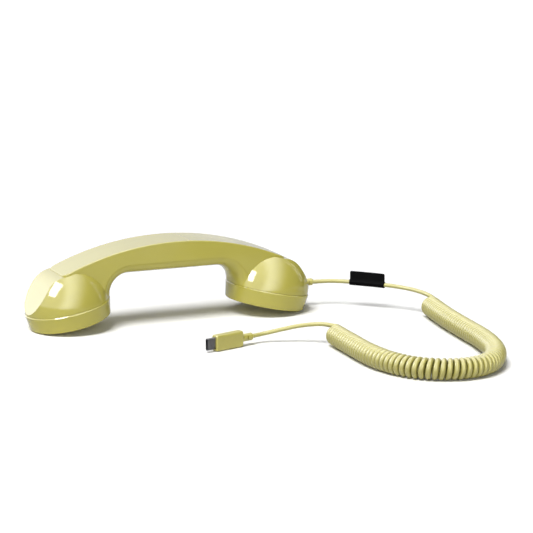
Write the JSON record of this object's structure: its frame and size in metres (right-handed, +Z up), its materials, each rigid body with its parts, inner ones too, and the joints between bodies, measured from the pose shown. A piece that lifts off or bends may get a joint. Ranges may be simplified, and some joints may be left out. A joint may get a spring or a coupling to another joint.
{
  "type": "corded telephone handset",
  "caption": "Retro telephone handset with a flat-sided arched handle, two round caps, an answer button, a curly cord and a USB-C plug.",
  "frame": {"origin": "on the table, below the middle of the handle of the handset as it lies face down on its two caps", "axes": "+X along the handle towards the mouthpiece and the cord, +Z up, -Y to the side on which the cord lies"},
  "size_m": [0.2841, 0.2723, 0.0582],
  "materials": {
    "acoustic_cloth": "black acoustic cloth",
    "ballast_steel": "plain steel bar",
    "bezel_chrome": "bright plated ring",
    "board_laminate": "green solder resist on glass laminate",
    "boot_rubber": "soft rubber",
    "button_plastic": "gloss plastic, the colour of the handle",
    "capsule_aluminium": "drawn aluminium can",
    "chip_black": "black moulding compound",
    "cone_paper": "pressed paper",
    "contact_gold": "gold plated",
    "cord_jacket": "soft semi-gloss cord jacket, pale olive yellow",
    "foam": "closed cell foam",
    "holder_plastic": "black moulded plastic",
    "label_black": "blank black film label",
    "magnet_iron": "sintered magnet",
    "plug_plastic": "soft moulding in the colour of the cord",
    "plug_steel": "bright nickel plated steel",
    "relief_plastic": "soft moulding in the colour of the cord",
    "screw_steel": "zinc plated",
    "shell_plastic": "high gloss moulded plastic, pale olive yellow",
    "stamped_steel": "zinc plated steel",
    "standoff_brass": "turned brass",
    "tongue_black": "black insulator",
    "wire_jacket": "black sleeved wires"
  },
  "bodies": {
    "handset": {"board_screws": "screw_steel", "board_standoffs": "standoff_brass", "button_bezel": "bezel_chrome", "codec_board": "board_laminate", "codec_chip": "chip_black", "cord_clamp": "holder_plastic", "cord_coil": "cord_jacket", "cord_core": "cord_jacket", "cord_label": "label_black", "earpiece_ballast": "ballast_steel", "handle_shell": "shell_plastic", "handle_wires": "wire_jacket", "handset_cord": "cord_jacket", "handset_strain_relief": "relief_plastic", "holder_screws": "screw_steel", "inner_cover": "shell_plastic", "microphone_boot": "boot_rubber", "microphone_capsule": "capsule_aluminium", "microphone_holder": "holder_plastic", "mouthpiece_ballast": "ballast_steel", "plug_contacts": "contact_gold", "plug_cord": "cord_jacket", "plug_housing": "plug_plastic", "plug_shell": "plug_steel", "plug_strain_relief": "relief_plastic", "plug_tongue": "tongue_black", "speaker_cone": "cone_paper", "speaker_frame": "stamped_steel", "speaker_gasket": "foam", "speaker_holder": "holder_plastic", "speaker_magnet": "magnet_iron", "switch_board": "board_laminate", "tact_switch": "chip_black"},
    "earpiece_cap": {"earpiece_cap": "shell_plastic", "earpiece_mesh": "acoustic_cloth"},
    "mouthpiece_cap": {"mouthpiece_cap": "shell_plastic", "mouthpiece_mesh": "acoustic_cloth"},
    "answer_button": {"answer_button": "button_plastic"}
  },
  "joints": [
    {"name": "button_press", "type": "slide", "parent": "handset", "child": "answer_button", "axis": [0, 0, 1], "range_m": [0, 0.0008], "stiffness_N_per_m": 800},
    {"name": "earpiece_cap_twist", "type": "hinge", "parent": "handset", "child": "earpiece_cap", "pos_m": [-0.07486, 0, 0.01688], "axis": [-0.2002, 0, 0.9798], "range_deg": [0, 28]},
    {"name": "mouthpiece_cap_twist", "type": "hinge", "parent": "handset", "child": "mouthpiece_cap", "pos_m": [0.07486, 0, 0.01688], "axis": [0.2002, 0, 0.9798], "range_deg": [0, 28]}
  ]
}
